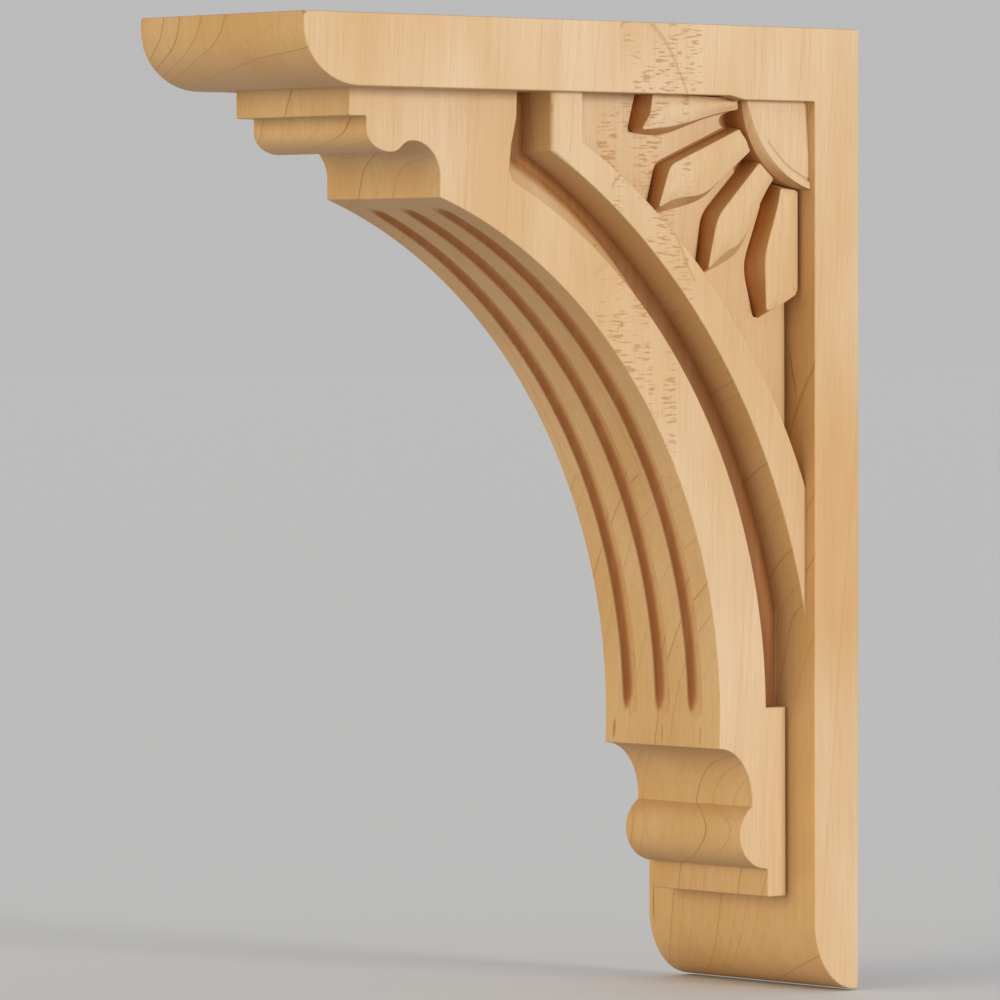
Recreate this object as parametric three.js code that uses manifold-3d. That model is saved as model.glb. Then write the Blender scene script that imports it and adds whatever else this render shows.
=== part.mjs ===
// Art deco corbel: a carved maple bracket that holds up a shelf, counter or mantel.
//
// One glued-up blank of hard maple, carved as one piece. A shelf slab and a wall plate make an
// upside-down L. A fluted arch springs from the plate to the slab between two runs of moulding,
// and the corner behind it carries a rib, a quarter sun and four petals on both sides.
//
// Millimetres, +Z up. The back lies on the wall at Y = 0 and the front faces -Y. The origin is the
// middle of the back. Side outlines are drawn as (out, up): the distance out from the wall, and the
// height above the middle of the back.

import * as THREE from 'three';
import Module from 'manifold-3d';
import { mergeVertices } from 'three/addons/utils/BufferGeometryUtils.js';
import { ConvexGeometry } from 'three/addons/geometries/ConvexGeometry.js';

// Overall sizes
const HEIGHT = 304.8;
const PROJECTION = 228.6;
const WIDTH = 78;
const SHELF_THICKNESS = 22;
const PLATE_THICKNESS = 19.2;
const BODY_SETBACK = 12;

// Rounded front of the shelf and foot of the plate, each with a flat left beside the rounding
const NOSE_RUN = 22;
const NOSE_FLAT = 4.2;
const FOOT_FLAT = 1.2;
const FOOT_RISE = 22;

// Moulding under the shelf: a square fillet, a bead and a scotia
const FILLET_SETBACK = 27.6;
const FILLET_HEIGHT = 8.5;
const BEAD_SETBACK = 6.8;
const BEAD_HEIGHT = 10.8;
const BEAD_RUN = 9.7;
const BEAD_RISE = 6.8;
const BEAD_BACK_RUN = 8.6;
const BEAD_BACK_RISE = 3.6;
const SCOTIA_RADIUS = 11;
const LIP_HEIGHT = 6.1;

// Moulding under the arch: a cove, a half-round and a square fillet
const ARCH_FOOT_OUT = 30;
const COVE_RISE = 17.2;
const COVE_STEP = 1.4;
const ROUND_RUN = 12;
const ROUND_RISE = 11;
const ROUND_TOP_TURN = 56;
const BASE_RISE = 29.9;
const BASE_FILLET_HEIGHT = 8.9;
const BASE_FILLET_OUT = 9.1;

// How far each arc bows out from the straight line between its ends
const ARCH_BOW = 34.9;
const GROOVE_BOW = 28.4;
const RIB_FRONT_BOW = 19.7;
const RIB_BACK_BOW = 12.1;

// Groove between the arch band and the rib
const GROOVE_DEPTH = 6;
const BAND_TOP_WIDTH = 29.4;
const GROOVE_TOP_WIDTH = 9.1;
const GROOVE_TOP_DROP = 27.2;
const GROOVE_FOOT_OUT = 9.8;
const GROOVE_FOOT_RISE = 12.5;
const GROOVE_SLOPE = 8.5;
const GROOVE_SLOPE_SHARE = 0.42;

// Raised rib
const RIB_STAND = 8;
const RIB_TOP_WIDTH = 12.6;
const RIB_FRONT_DROP = 18.3;
const RIB_BACK_DROP = 15.2;
const RIB_FRONT_FOOT_RISE = 40.8;
const RIB_BACK_FOOT_RISE = 82;

// Quarter sun in the corner
const SUN_RADIUS = 28.2;
const SUN_DROP = 1.5;
const SUN_STAND = 9.2;
const SUN_BEVEL = 3.2;
const SUN_BEVEL_DROP = 3.4;
const SUN_RIM = 2.2;
const SUN_RIM_STEP = 0.8;

// Petals round the sun, with a low ridge along each. A petal's turn is in degrees from straight out,
// and its corners are how far along from the corner of the bracket and how far above its middle line
const PETAL_STAND = 6.4;
const PETAL_RIDGE = 1.4;
const PETAL_TUCK = 0.4;
const HOLLOW_DEPTH = 1.8;
const HOLLOW_LENGTH = 13;
const HOLLOW_HALF_WIDTH = 3.4;
const HOLLOW_LOW_SHARE = 0.25;
const PETALS = [
  { turn: -6, root: [3, -1], above: [64, 6.6], below: [57, -7], tip: [69, -3] },
  { turn: -29, root: [4.6, -4], above: [56, 8.3], below: [54, -7], tip: [71, -1.4] },
  { turn: -54, root: [4.2, -4.6], above: [50, 7.6], below: [53, -7.8], tip: [68, 0.7] },
  { turn: -79, root: [2, -5], above: [55, 7.6], below: [60, -10.5], tip: [71, 0.4] },
];

// Flutes along the underside of the arch, with bands of the same width between and beside them
const FLUTE_COUNT = 3;
const FLUTE_WIDTH = 7.1;
const FLUTE_DEPTH = 3.1;
const FLUTE_TOP_GAP = 9;
const FLUTE_FOOT_GAP = 9;
const FLUTE_RUNOUT = 9;

// Carved shapes run this far into the wood behind them, so that they join as one
const OVERLAP = 4;

// Straight pieces in each curve
const ARC_STEPS = 40;
const FLUTE_STEPS = 48;
const FLUTE_SIDES = 20;
const CURVE_STEPS = 10;
const SUN_STEPS = 20;
const BEAD_BACK_STEPS = 6;

const TOP = HEIGHT / 2;
const BOTTOM = -HEIGHT / 2;
const SHELF_UNDER = TOP - SHELF_THICKNESS;
const FRAME_SIDE = WIDTH / 2;
const BODY_SIDE = FRAME_SIDE - BODY_SETBACK;

const library = await Module();
library.setup();

// A point of a side outline
function at(out, up) {
  return new THREE.Vector2(out, up);
}

// Where a point of a side outline lies in space
function place(point, side) {
  return new THREE.Vector3(side, -point.x, point.y);
}

// Part of an ellipse, with its angles in degrees anticlockwise from straight out
function ellipseArc(centre, runOut, runUp, from, to, steps = CURVE_STEPS) {
  const points = [];
  for (let step = 0; step <= steps; step += 1) {
    const angle = THREE.MathUtils.degToRad(from + (to - from) * step / steps);
    points.push(at(centre.x + runOut * Math.cos(angle), centre.y + runUp * Math.sin(angle)));
  }
  return points;
}

// The circle through two points that bows up and towards the wall between them
function bowedCircle(start, end, bow) {
  const chord = end.clone().sub(start);
  const half = chord.length() / 2;
  const radius = (half * half + bow * bow) / (2 * bow);
  const away = at(-chord.y, chord.x).normalize();
  const centre = start.clone().add(end).multiplyScalar(0.5).addScaledVector(away, radius - bow);
  return { centre, radius, from: start.clone().sub(centre).angle(), to: end.clone().sub(centre).angle() };
}

function onCircle(circle, share, grow = 0) {
  const angle = circle.from + (circle.to - circle.from) * share;
  const reach = circle.radius + grow;
  return at(circle.centre.x + reach * Math.cos(angle), circle.centre.y + reach * Math.sin(angle));
}

function bowedArc(start, end, bow, growAt = () => 0) {
  const circle = bowedCircle(start, end, bow);
  const points = [];
  for (let step = 0; step <= ARC_STEPS; step += 1) {
    const share = step / ARC_STEPS;
    points.push(onCircle(circle, share, growAt(share)));
  }
  return points;
}

// A solid of a closed mesh, turned so that its faces point out
function solidOf(geometry) {
  const bare = geometry.clone();
  bare.deleteAttribute('normal');
  bare.deleteAttribute('uv');
  const merged = mergeVertices(bare, 0.0001);
  const vertices = merged.attributes.position.array;
  const corners = Array.from(merged.index.array);
  const a = new THREE.Vector3();
  const b = new THREE.Vector3();
  const c = new THREE.Vector3();
  let volume = 0;
  for (let first = 0; first < corners.length; first += 3) {
    a.fromArray(vertices, corners[first] * 3);
    b.fromArray(vertices, corners[first + 1] * 3);
    c.fromArray(vertices, corners[first + 2] * 3);
    volume += a.dot(b.cross(c));
  }
  if (volume < 0) {
    corners.reverse();
  }
  const mesh = new library.Mesh({
    numProp: 3,
    vertProperties: new Float32Array(vertices),
    triVerts: new Uint32Array(corners),
  });
  return new library.Manifold(mesh);
}

// A skin over rings of points, each ring with as many points, closed by a cap at both ends
function skin(rings, section) {
  const count = section.length;
  const points = rings.flat();
  const index = [];
  const caps = THREE.ShapeUtils.triangulateShape(section, []);
  const clockwise = THREE.ShapeUtils.isClockWise(section);
  const last = (rings.length - 1) * count;
  for (const triangle of caps) {
    const [first, second, third] = clockwise ? [...triangle].reverse() : triangle;
    index.push(third, second, first);
    index.push(last + first, last + second, last + third);
  }
  for (let ring = 0; ring < rings.length - 1; ring += 1) {
    for (let corner = 0; corner < count; corner += 1) {
      const next = (corner + 1) % count;
      const here = ring * count;
      index.push(here + corner, here + next, here + count + next);
      index.push(here + corner, here + count + next, here + count + corner);
    }
  }
  const geometry = new THREE.BufferGeometry().setFromPoints(points);
  geometry.setIndex(index);
  return geometry;
}

// A solid through side outlines, each at its own distance from the middle
function layered(layers) {
  const rings = layers.map(({ outline, side }) => outline.map((point) => place(point, side)));
  return solidOf(skin(rings, layers[0].outline));
}

function prism(outline, side) {
  return layered([{ outline, side: -side }, { outline, side }]);
}

// The same carving on both sides of the corbel
function bothSides(build) {
  return build(1).add(build(-1));
}

function convex(points) {
  return solidOf(new ConvexGeometry(points));
}

// The shelf slab and the wall plate
function frameOutline() {
  const footRun = PLATE_THICKNESS - FOOT_FLAT;
  const noseRise = SHELF_THICKNESS - NOSE_FLAT;
  return [
    at(0, BOTTOM),
    ...ellipseArc(at(FOOT_FLAT, BOTTOM + FOOT_RISE), footRun, FOOT_RISE, -90, 0),
    at(PLATE_THICKNESS, SHELF_UNDER),
    ...ellipseArc(at(PROJECTION - NOSE_RUN, TOP - NOSE_FLAT), NOSE_RUN, noseRise, -90, 0),
    at(PROJECTION, TOP),
    at(0, TOP),
  ];
}

const filletFront = PROJECTION - FILLET_SETBACK;
const filletUnder = SHELF_UNDER - FILLET_HEIGHT;
const beadFront = filletFront - BEAD_SETBACK;
const beadUnder = filletUnder - BEAD_HEIGHT;
const beadLow = at(beadFront - BEAD_RUN, beadUnder);
const scotiaTop = at(beadLow.x - BEAD_BACK_RUN, beadUnder + BEAD_BACK_RISE);
const lip = at(scotiaTop.x - SCOTIA_RADIUS, scotiaTop.y - SCOTIA_RADIUS);
const archTop = at(lip.x, lip.y - LIP_HEIGHT);

const baseUnder = BOTTOM + BASE_RISE;
const roundUnder = baseUnder + BASE_FILLET_HEIGHT;
const roundCentre = at(PLATE_THICKNESS + BASE_FILLET_OUT, roundUnder + ROUND_RISE);
const roundOutline = ellipseArc(roundCentre, ROUND_RUN, ROUND_RISE, -90, ROUND_TOP_TURN);
const coveBack = roundOutline[roundOutline.length - 1];
const coveLow = coveBack.y + COVE_STEP;
const archFoot = at(PLATE_THICKNESS + ARCH_FOOT_OUT, coveLow + COVE_RISE);

// The side of the arch with its mouldings above and below
function bodyOutline() {
  const scotiaCentre = at(scotiaTop.x, lip.y);
  const beadBack = new THREE.CubicBezierCurve(
    beadLow,
    at(beadLow.x - BEAD_BACK_RUN / 2, beadLow.y),
    at(scotiaTop.x + BEAD_BACK_RUN / 2, scotiaTop.y),
    scotiaTop,
  );
  return [
    at(PLATE_THICKNESS - OVERLAP, SHELF_UNDER + OVERLAP),
    at(PLATE_THICKNESS - OVERLAP, baseUnder),
    at(roundCentre.x, baseUnder),
    ...roundOutline,
    ...ellipseArc(at(archFoot.x, coveLow), archFoot.x - coveBack.x, COVE_RISE, 180, 90),
    ...bowedArc(archTop, archFoot, ARCH_BOW).reverse().slice(1),
    ...ellipseArc(scotiaCentre, SCOTIA_RADIUS, SCOTIA_RADIUS, 180, 90),
    ...beadBack.getPoints(BEAD_BACK_STEPS).reverse().slice(1, -1),
    ...ellipseArc(at(beadFront - BEAD_RUN, beadUnder + BEAD_RISE), BEAD_RUN, BEAD_RISE, -90, 0),
    at(beadFront, filletUnder),
    at(filletFront, filletUnder),
    at(filletFront, SHELF_UNDER + OVERLAP),
  ];
}

const grooveTop = at(archTop.x - BAND_TOP_WIDTH, SHELF_UNDER - GROOVE_TOP_DROP);
const grooveFoot = at(PLATE_THICKNESS + GROOVE_FOOT_OUT, archFoot.y + GROOVE_FOOT_RISE);
const ribFrontTop = at(grooveTop.x - GROOVE_TOP_WIDTH, SHELF_UNDER - RIB_FRONT_DROP);
const ribFrontFoot = at(PLATE_THICKNESS, archFoot.y + RIB_FRONT_FOOT_RISE);
const ribBackTop = at(ribFrontTop.x - RIB_TOP_WIDTH, SHELF_UNDER - RIB_BACK_DROP);
const ribBackFoot = at(PLATE_THICKNESS, archFoot.y + RIB_BACK_FOOT_RISE);

// The groove, with a wall that leans at the top of the arch and stands up straight further down
function grooveOutline(slope) {
  const lean = (share) => {
    const fall = Math.min(1, share / GROOVE_SLOPE_SHARE);
    return slope * (1 - fall * fall);
  };
  return [
    at(grooveTop.x, SHELF_UNDER + OVERLAP),
    at(grooveTop.x, grooveTop.y + slope + OVERLAP),
    ...bowedArc(grooveTop, grooveFoot, GROOVE_BOW, lean),
    at(PLATE_THICKNESS - OVERLAP, grooveFoot.y),
    at(PLATE_THICKNESS - OVERLAP, ribFrontFoot.y),
    ...bowedArc(ribFrontTop, ribFrontFoot, RIB_FRONT_BOW, () => OVERLAP).reverse(),
    at(ribFrontTop.x - OVERLAP, SHELF_UNDER + OVERLAP),
  ];
}

function groove(sign) {
  const floor = BODY_SIDE - GROOVE_DEPTH;
  const above = BODY_SIDE + OVERLAP;
  return layered([
    { outline: grooveOutline(GROOVE_SLOPE), side: sign * floor },
    { outline: grooveOutline(0), side: sign * BODY_SIDE },
    { outline: grooveOutline(0), side: sign * above },
  ]);
}

function ribOutline() {
  return [
    at(ribFrontTop.x, SHELF_UNDER + OVERLAP),
    ...bowedArc(ribFrontTop, ribFrontFoot, RIB_FRONT_BOW),
    at(PLATE_THICKNESS - OVERLAP, ribFrontFoot.y),
    at(PLATE_THICKNESS - OVERLAP, ribBackFoot.y),
    ...bowedArc(ribBackTop, ribBackFoot, RIB_BACK_BOW).reverse(),
    at(ribBackTop.x, SHELF_UNDER + OVERLAP),
  ];
}

// The corner that the petals spread from, and the middle of the sun just under it
const corner = at(PLATE_THICKNESS, SHELF_UNDER);
const sunCentre = at(corner.x, corner.y - SUN_DROP);

// A quarter disc with its straight sides sunk into the shelf and the plate
function sunOutline(radius) {
  return [
    at(sunCentre.x - OVERLAP, corner.y + OVERLAP),
    at(sunCentre.x - OVERLAP, sunCentre.y - radius),
    ...ellipseArc(sunCentre, radius, radius, -90, 0, SUN_STEPS),
    at(sunCentre.x + radius, corner.y + OVERLAP),
  ];
}

function sun(sign) {
  const face = BODY_SIDE + SUN_STAND;
  const rimInner = SUN_RADIUS - SUN_BEVEL - SUN_RIM;
  const disc = layered([
    { outline: sunOutline(SUN_RADIUS), side: 0 },
    { outline: sunOutline(SUN_RADIUS), side: sign * (face - SUN_BEVEL_DROP) },
    { outline: sunOutline(SUN_RADIUS - SUN_BEVEL), side: sign * face },
  ]);
  const step = layered([
    { outline: sunOutline(rimInner - SUN_RIM_STEP), side: sign * (face - SUN_RIM_STEP) },
    { outline: sunOutline(rimInner + SUN_RIM_STEP), side: sign * (face + SUN_RIM_STEP) },
  ]);
  return disc.subtract(step);
}

// A point beside a petal's middle line, as a side outline point
function besidePetal(turn, along, across) {
  return at(along, across).rotateAround(at(0, 0), THREE.MathUtils.degToRad(turn)).add(corner);
}

// The petals start just under the edge of the sun
const petalRoot = SUN_RADIUS - PETAL_TUCK;

function petal(shape, sign) {
  const edge = BODY_SIDE + PETAL_STAND;
  const { turn, root, above, below, tip } = shape;
  const rim = [
    besidePetal(turn, petalRoot, root[0]),
    besidePetal(turn, petalRoot, root[1]),
    besidePetal(turn, ...below),
    besidePetal(turn, ...tip),
    besidePetal(turn, ...above),
  ];
  const crest = [
    besidePetal(turn, petalRoot, (root[0] + root[1]) / 2),
    besidePetal(turn, (above[0] + below[0]) / 2, (above[1] + below[1]) / 2),
  ];
  return convex([
    ...rim.map((point) => place(point, sign * (BODY_SIDE - OVERLAP))),
    ...rim.map((point) => place(point, sign * edge)),
    ...crest.map((point) => place(point, sign * (edge + PETAL_RIDGE))),
  ]);
}

// The room for carving: below the shelf and in front of the plate
function carvingRoom() {
  return prism([
    at(PLATE_THICKNESS - OVERLAP, BOTTOM),
    at(PROJECTION, BOTTOM),
    at(PROJECTION, SHELF_UNDER + OVERLAP),
    at(PLATE_THICKNESS - OVERLAP, SHELF_UNDER + OVERLAP),
  ], FRAME_SIDE);
}

// A scooped hollow at the root of a petal, against the sun
function hollow(shape, sign) {
  const middle = shape.root[0] + HOLLOW_HALF_WIDTH;
  const rim = [
    besidePetal(shape.turn, petalRoot, middle + HOLLOW_HALF_WIDTH),
    besidePetal(shape.turn, petalRoot, middle - HOLLOW_HALF_WIDTH),
    besidePetal(shape.turn, petalRoot + HOLLOW_LENGTH, middle),
  ];
  const low = besidePetal(shape.turn, petalRoot + HOLLOW_LENGTH * HOLLOW_LOW_SHARE, middle);
  return convex([
    ...rim.map((point) => place(point, sign * (BODY_SIDE + OVERLAP))),
    ...rim.map((point) => place(point, sign * BODY_SIDE)),
    place(low, sign * (BODY_SIDE - HOLLOW_DEPTH)),
  ]);
}

// One flute: a round cutter that follows the arch and lifts out of the wood at both ends
function flute(across) {
  const halfWidth = FLUTE_WIDTH / 2;
  const radius = (halfWidth * halfWidth + FLUTE_DEPTH * FLUTE_DEPTH) / (2 * FLUTE_DEPTH);
  const circle = bowedCircle(archTop, archFoot, ARCH_BOW);
  const length = circle.radius * Math.abs(circle.to - circle.from);
  const start = FLUTE_TOP_GAP / length;
  const end = 1 - FLUTE_FOOT_GAP / length;
  const section = [];
  for (let side = 0; side < FLUTE_SIDES; side += 1) {
    const angle = 2 * Math.PI * side / FLUTE_SIDES;
    section.push(at(radius * Math.cos(angle), radius * Math.sin(angle)));
  }
  const rings = [];
  for (let step = 0; step <= FLUTE_STEPS; step += 1) {
    const share = start + (end - start) * step / FLUTE_STEPS;
    const toEnd = Math.min(share - start, end - share) * length;
    const runout = Math.max(0, 1 - toEnd / FLUTE_RUNOUT);
    const lift = FLUTE_DEPTH * runout * runout;
    const grow = FLUTE_DEPTH - radius - lift;
    rings.push(section.map((point) => {
      const spot = onCircle(circle, share, grow + point.y);
      return place(spot, across + point.x);
    }));
  }
  return solidOf(skin(rings, section));
}

function corbelSolid() {
  let body = prism(bodyOutline(), BODY_SIDE);
  body = body.subtract(bothSides(groove));
  for (const shape of PETALS.slice(1)) {
    body = body.subtract(bothSides((sign) => hollow(shape, sign)));
  }
  const fluteBand = (2 * BODY_SIDE - FLUTE_COUNT * FLUTE_WIDTH) / (FLUTE_COUNT + 1);
  for (let count = 1; count <= FLUTE_COUNT; count += 1) {
    body = body.subtract(flute(count * (fluteBand + FLUTE_WIDTH) - FLUTE_WIDTH / 2 - BODY_SIDE));
  }
  let carving = bothSides(sun);
  for (const shape of PETALS) {
    carving = carving.add(bothSides((sign) => petal(shape, sign)));
  }
  carving = carving.intersect(carvingRoom());
  body = body.add(prism(ribOutline(), BODY_SIDE + RIB_STAND));
  body = body.add(carving);
  return body.add(prism(frameOutline(), FRAME_SIDE));
}

function meshOf(solid, name, material) {
  const { vertProperties, triVerts } = solid.getMesh();
  const geometry = new THREE.BufferGeometry();
  geometry.setAttribute('position', new THREE.BufferAttribute(vertProperties, 3));
  geometry.setIndex(new THREE.BufferAttribute(triVerts, 1));
  geometry.computeVertexNormals();
  const mesh = new THREE.Mesh(geometry, material);
  mesh.name = name;
  return mesh;
}

const maple = new THREE.MeshStandardMaterial({ color: 0xe0bd8c, roughness: 0.62, metalness: 0 });

const corbel = new THREE.Group();
corbel.add(meshOf(corbelSolid(), 'corbel', maple));

export default corbel;
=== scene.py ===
"""Art deco corbel, carved from a glued-up blank of hard maple and left unfinished.

Lengths are in millimetres until they reach a mesh. Side outlines are lists of (out, up) points:
the distance out from the wall, and the height above the middle of the back. The front faces -Y.
"""

import math

import bpy
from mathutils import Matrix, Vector


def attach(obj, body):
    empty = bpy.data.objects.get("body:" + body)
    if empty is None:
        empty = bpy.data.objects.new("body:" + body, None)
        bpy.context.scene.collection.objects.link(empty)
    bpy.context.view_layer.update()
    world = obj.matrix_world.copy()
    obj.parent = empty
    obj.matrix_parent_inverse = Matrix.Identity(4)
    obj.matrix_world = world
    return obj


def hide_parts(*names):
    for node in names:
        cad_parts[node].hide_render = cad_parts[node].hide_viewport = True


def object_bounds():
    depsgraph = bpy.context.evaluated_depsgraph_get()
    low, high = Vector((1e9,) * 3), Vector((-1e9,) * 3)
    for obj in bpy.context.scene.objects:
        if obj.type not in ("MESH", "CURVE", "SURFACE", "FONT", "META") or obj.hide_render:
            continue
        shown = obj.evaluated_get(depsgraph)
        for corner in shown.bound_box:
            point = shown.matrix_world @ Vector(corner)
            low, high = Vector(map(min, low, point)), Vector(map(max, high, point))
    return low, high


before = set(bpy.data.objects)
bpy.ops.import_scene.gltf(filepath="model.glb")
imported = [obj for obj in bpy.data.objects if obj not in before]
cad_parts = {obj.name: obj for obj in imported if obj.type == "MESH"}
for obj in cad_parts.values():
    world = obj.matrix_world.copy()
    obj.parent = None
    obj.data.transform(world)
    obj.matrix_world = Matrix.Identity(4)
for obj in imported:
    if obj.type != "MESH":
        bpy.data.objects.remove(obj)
cad_low, cad_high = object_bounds()

MM = 0.001

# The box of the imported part, in millimetres
HALF_WIDTH = cad_high.x / MM
PROJECTION = -cad_low.y / MM
TOP = cad_high.z / MM
BOTTOM = cad_low.z / MM

# The slab, the plate and the body set back between them
SHELF_THICKNESS = 22.0
PLATE = 19.2
BODY_SETBACK = 12.0
SHELF_UNDER = TOP - SHELF_THICKNESS
BODY_SIDE = HALF_WIDTH - BODY_SETBACK

# How far sharp edges are rubbed down by sanding, along an edge and at an outline's corners
EDGE = 0.45
CORNER = 0.7

# How far pieces run into each other before they are joined
OVERLAP = 4.0


# The camera stands where the photograph was taken from: its place in millimetres, its turn in
# degrees, and its lens

CAMERA_PLACE = (1707.8, -1612.1, 60.6)
CAMERA_TURN = (88.581, 0.048, 48.805)
CAMERA_LENS = 262.64
SENSOR_WIDTH = 36


def make_camera():
    bpy.ops.object.camera_add(
        location=Vector(CAMERA_PLACE) * MM,
        rotation=[math.radians(angle) for angle in CAMERA_TURN],
    )
    camera = bpy.context.object
    camera.name = "camera"
    camera.data.lens = CAMERA_LENS
    camera.data.sensor_width = SENSOR_WIDTH
    bpy.context.scene.camera = camera


# Side outlines

def ellipse_arc(centre, run_out, run_up, start, end, steps):
    """Part of an ellipse, its angles in degrees anticlockwise from straight out."""
    points = []
    for step in range(steps + 1):
        angle = math.radians(start + (end - start) * step / steps)
        out = centre[0] + run_out * math.cos(angle)
        up = centre[1] + run_up * math.sin(angle)
        points.append((out, up))
    return points


def bowed_circle(start, end, bow):
    """Centre, radius and end angles of the arc from start to end that bows up towards the wall."""
    chord = Vector(end) - Vector(start)
    half = chord.length / 2
    radius = (half * half + bow * bow) / (2 * bow)
    away = Vector((-chord.y, chord.x)).normalized()
    centre = (Vector(start) + Vector(end)) / 2 + away * (radius - bow)
    ends = []
    for point in (start, end):
        ends.append(math.atan2(point[1] - centre.y, point[0] - centre.x))
    if ends[1] < ends[0]:
        ends[1] += math.tau
    return centre, radius, ends[0], ends[1]


def on_circle(circle, share, grow=0.0):
    centre, radius, first, last = circle
    angle = first + (last - first) * share
    return (
        centre.x + (radius + grow) * math.cos(angle),
        centre.y + (radius + grow) * math.sin(angle),
    )


def bowed_arc(start, end, bow, steps, grow=lambda share: 0.0):
    circle = bowed_circle(start, end, bow)
    return [on_circle(circle, step / steps, grow(step / steps)) for step in range(steps + 1)]


def bezier(start, lead, trail, end, steps):
    points = []
    for step in range(steps + 1):
        t = step / steps
        weights = ((1 - t) ** 3, 3 * t * (1 - t) ** 2, 3 * t * t * (1 - t), t ** 3)
        out = sum(w * p[0] for w, p in zip(weights, (start, lead, trail, end)))
        up = sum(w * p[1] for w, p in zip(weights, (start, lead, trail, end)))
        points.append((out, up))
    return points


# A corner that turns by fewer degrees is part of a curve. A rounded corner takes at most the share
# LONGEST_CUT of the sides beside it.
CORNER_TURN = 18
CORNER_STEPS = 3
LONGEST_CUT = 0.45


def eased(outline, rounding):
    """The outline with its corners rounded."""
    points = []
    for index, here in enumerate(outline):
        corner = Vector(here)
        before = corner - Vector(outline[index - 1])
        after = Vector(outline[(index + 1) % len(outline)]) - corner
        turn = abs(before.angle_signed(after))
        if math.degrees(turn) < CORNER_TURN:
            points.append(here)
            continue
        cut = min(rounding * math.tan(turn / 2), LONGEST_CUT * min(before.length, after.length))
        start = corner - before.normalized() * cut
        end = corner + after.normalized() * cut
        for step in range(CORNER_STEPS + 1):
            t = step / CORNER_STEPS
            spot = start * (1 - t) ** 2 + corner * 2 * t * (1 - t) + end * t * t
            points.append(tuple(spot))
    return points


def inset(outline, distance):
    """The outline drawn in by a small distance. distance may be a function of (out, up)."""
    area = 0.0
    for index, (out, up) in enumerate(outline):
        last_out, last_up = outline[index - 1]
        area += last_out * up - out * last_up
    turn = 1 if area > 0 else -1
    points = []
    for index, here in enumerate(outline):
        before = (Vector(here) - Vector(outline[index - 1])).normalized()
        after = (Vector(outline[(index + 1) % len(outline)]) - Vector(here)).normalized()
        inward = Vector((-before.y - after.y, before.x + after.x)) * turn
        scale = 1 + before.dot(after)
        reach = distance(here) if callable(distance) else distance
        points.append(tuple(Vector(here) + inward * reach / scale))
    return points


# Solids

def select_only(piece):
    bpy.ops.object.select_all(action="DESELECT")
    piece.select_set(True)
    bpy.context.view_layer.objects.active = piece


def loft(name, rings):
    """A closed solid through rings, each a list of (x, out, up) with as many points as the others."""
    count = len(rings[0])
    bpy.ops.object.select_all(action="DESELECT")
    bpy.ops.mesh.primitive_grid_add(x_subdivisions=count, y_subdivisions=len(rings) - 1, size=1)
    piece = bpy.context.object
    piece.name = name
    for index, vertex in enumerate(piece.data.vertices):
        ring, column = divmod(index, count + 1)
        x, out, up = rings[ring][column % count]
        vertex.co = Vector((x, -out, up)) * MM
    bpy.ops.object.mode_set(mode="EDIT")
    bpy.ops.mesh.select_all(action="SELECT")
    bpy.ops.mesh.remove_doubles(threshold=0.000001)
    bpy.ops.mesh.fill_holes(sides=0)
    bpy.ops.mesh.select_all(action="SELECT")
    bpy.ops.mesh.normals_make_consistent(inside=False)
    bpy.ops.object.mode_set(mode="OBJECT")
    return piece


def at_side(outline, x):
    return [(x, out, up) for out, up in outline]


def to_side(rings, sign):
    """Rings of the right side, kept there for the sign 1 or mirrored to the left one for -1."""
    return [[(sign * x, out, up) for x, out, up in ring] for ring in rings]


def across(right, middle=()):
    """Rings across the whole width: the right side's mirrored, those between, the right side's."""
    return [*to_side(reversed(right), -1), *middle, *right]


EDGE_STEPS = 3


def edge_rounding(radius):
    """Pairs of how far down from the face and how far in from the side, round a quarter circle."""
    pairs = []
    for step in range(EDGE_STEPS + 1):
        angle = math.pi / 2 * step / EDGE_STEPS
        pairs.append((radius * (1 - math.sin(angle)), radius * (1 - math.cos(angle))))
    return pairs


def slab(name, outline, side):
    """A plate cut to a side outline, as wide as side to each side, with rubbed edges."""
    outline = eased(outline, CORNER)
    right = [at_side(inset(outline, sink), side - drop) for drop, sink in edge_rounding(EDGE)]
    return loft(name, across(right))


def combine(piece, other, operation):
    """Joins or cuts one piece with another, which is used up."""
    select_only(piece)
    cutter = piece.modifiers.new(operation.lower(), "BOOLEAN")
    cutter.operation = operation
    cutter.solver = "MANIFOLD"
    cutter.object = other
    bpy.ops.object.modifier_apply(modifier=cutter.name)
    bpy.data.objects.remove(other, do_unlink=True)


# The shelf slab and the wall plate

NOSE_RUN = 22.0
NOSE_FLAT = 4.2
FOOT_FLAT = 1.2
FOOT_RISE = 22.0
SHELF_DIP = 1.2
DIP_START = 49.5
DIP_END = 55.5
FOOT_STEPS = 16
NOSE_STEPS = 20


def frame_outline():
    foot_run = PLATE - FOOT_FLAT
    nose_rise = SHELF_THICKNESS - NOSE_FLAT
    return [
        (0, BOTTOM),
        *ellipse_arc((FOOT_FLAT, BOTTOM + FOOT_RISE), foot_run, FOOT_RISE, -90, 0, FOOT_STEPS),
        (PLATE, SHELF_UNDER - SHELF_DIP),
        (DIP_START, SHELF_UNDER - SHELF_DIP),
        (DIP_END, SHELF_UNDER),
        *ellipse_arc((PROJECTION - NOSE_RUN, TOP - NOSE_FLAT), NOSE_RUN, nose_rise, -90, 0, NOSE_STEPS),
        (PROJECTION, TOP),
        (0, TOP),
    ]


# The body: mouldings at both ends of the fluted arch

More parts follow.
